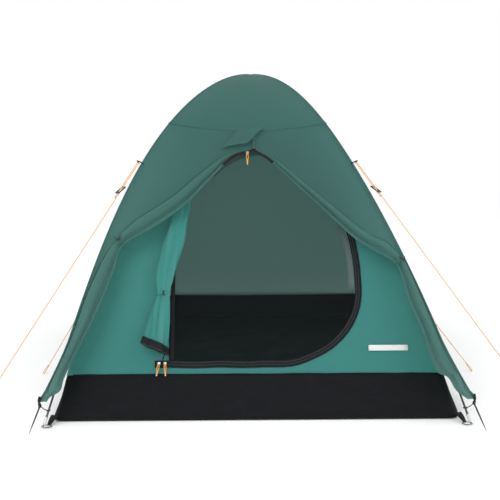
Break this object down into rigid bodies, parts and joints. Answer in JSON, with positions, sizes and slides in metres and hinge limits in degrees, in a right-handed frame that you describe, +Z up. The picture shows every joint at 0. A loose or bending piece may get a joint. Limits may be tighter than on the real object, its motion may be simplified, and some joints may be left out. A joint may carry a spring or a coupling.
{
  "type": "dome tent",
  "caption": "Two-person dome tent on crossed hoop poles: bathtub floor, D-shaped mesh door, full flysheet with tied-back front flaps, guy lines and pegs.",
  "frame": {"origin": "on the ground under the middle of the floor", "axes": "+Z up, -Y out of the door, +X to the right seen from the front"},
  "size_m": [2.1941, 2.6223, 1.3124],
  "materials": {
    "fly_cloth": "coated polyester, matt",
    "canopy_cloth": "breathable polyester, matt",
    "tub_cloth": "coated groundsheet, slight sheen",
    "mesh_cloth": "fine insect mesh",
    "black_webbing": "woven tape",
    "zip_tape": "coil zip on tape",
    "orange_cord": "braided cord",
    "fibreglass": "painted fibreglass rod with steel ferrules",
    "bright_steel": "zinc-plated wire",
    "dark_steel": "dark steel wire",
    "black_plastic": "moulded"
  },
  "bodies": {
    "root": {"corner_peg_front_left": "dark_steel", "corner_peg_front_right": "dark_steel", "corner_peg_rear_left": "dark_steel", "corner_peg_rear_right": "dark_steel", "corner_tab_front_left": "black_webbing", "corner_tab_front_right": "black_webbing", "corner_tab_rear_left": "black_webbing", "corner_tab_rear_right": "black_webbing", "door_roll_tie": "black_webbing", "door_zip": "zip_tape", "flap_tie_left": "black_webbing", "flap_tie_right": "black_webbing", "floor_tub": "tub_cloth", "fly_front_left": "fly_cloth", "fly_front_right": "fly_cloth", "fly_left": "fly_cloth", "fly_rear": "fly_cloth", "fly_right": "fly_cloth", "fly_zip_slider": "bright_steel", "guy_line_front_left": "orange_cord", "guy_line_front_right": "orange_cord", "guy_line_side_left": "orange_cord", "guy_line_side_right": "orange_cord", "guy_peg_left": "bright_steel", "guy_peg_right": "bright_steel", "inner_wall_front": "canopy_cloth", "inner_wall_left": "canopy_cloth", "inner_wall_rear": "canopy_cloth", "inner_wall_right": "canopy_cloth", "mesh_door": "mesh_cloth", "outer_zip_slider": "bright_steel", "pole_lower_section_1": "fibreglass", "pole_lower_section_2": "fibreglass", "pole_lower_section_3": "fibreglass", "pole_lower_section_4": "fibreglass", "pole_lower_section_5": "fibreglass", "pole_lower_section_6": "fibreglass", "pole_upper_section_1": "fibreglass", "pole_upper_section_2": "fibreglass", "pole_upper_section_3": "fibreglass", "pole_upper_section_4": "fibreglass", "pole_upper_section_5": "fibreglass", "pole_upper_section_6": "fibreglass", "ring_pin_front_left": "bright_steel", "ring_pin_front_right": "bright_steel", "ring_pin_rear_left": "bright_steel", "ring_pin_rear_right": "bright_steel", "rolled_door": "canopy_cloth", "shock_cord_lower": "black_webbing", "shock_cord_upper": "black_webbing", "storm_flap": "fly_cloth"},
    "runner_front_left": {"runner_front_left": "black_plastic"},
    "runner_front_right": {"runner_front_right": "black_plastic"},
    "runner_side_left": {"runner_side_left": "black_plastic"},
    "runner_side_right": {"runner_side_right": "black_plastic"},
    "mesh_slider": {"mesh_zip_slider": "bright_steel"},
    "mesh_pull": {"mesh_zip_pull": "orange_cord"},
    "outer_pull": {"outer_zip_pull": "orange_cord"},
    "fly_pull": {"fly_zip_pull": "orange_cord"}
  },
  "joints": [
    {"name": "runner_front_left_slide", "type": "slide", "parent": "root", "child": "runner_front_left", "axis": [-0.4302, -0.5611, -0.7072], "range_m": [-0.08, 0.4]},
    {"name": "runner_front_right_slide", "type": "slide", "parent": "root", "child": "runner_front_right", "axis": [0.4639, -0.5506, -0.694], "range_m": [-0.08, 0.4]},
    {"name": "runner_side_left_slide", "type": "slide", "parent": "root", "child": "runner_side_left", "axis": [-0.4674, -0.3595, -0.8076], "range_m": [-0.08, 0.2]},
    {"name": "runner_side_right_slide", "type": "slide", "parent": "root", "child": "runner_side_right", "axis": [0.5743, -0.3329, -0.7479], "range_m": [-0.08, 0.2]},
    {"name": "mesh_slider_slide", "type": "slide", "parent": "root", "child": "mesh_slider", "axis": [1, 0, 0], "range_m": [0, 0.41]},
    {"name": "mesh_pull_swing", "type": "hinge", "parent": "mesh_slider", "child": "mesh_pull", "pos_m": [-0.343, -0.92479, 0.19303], "axis": [-1, 0, 0], "range_deg": [0, 120]},
    {"name": "outer_pull_swing", "type": "hinge", "parent": "root", "child": "outer_pull", "pos_m": [-0.366, -0.92479, 0.19303], "axis": [-1, 0, 0], "range_deg": [0, 120]},
    {"name": "fly_pull_swing", "type": "hinge", "parent": "root", "child": "fly_pull", "pos_m": [-0.02675, -0.57889, 0.97], "axis": [-1, 0, 0], "range_deg": [-15, 120]}
  ]
}
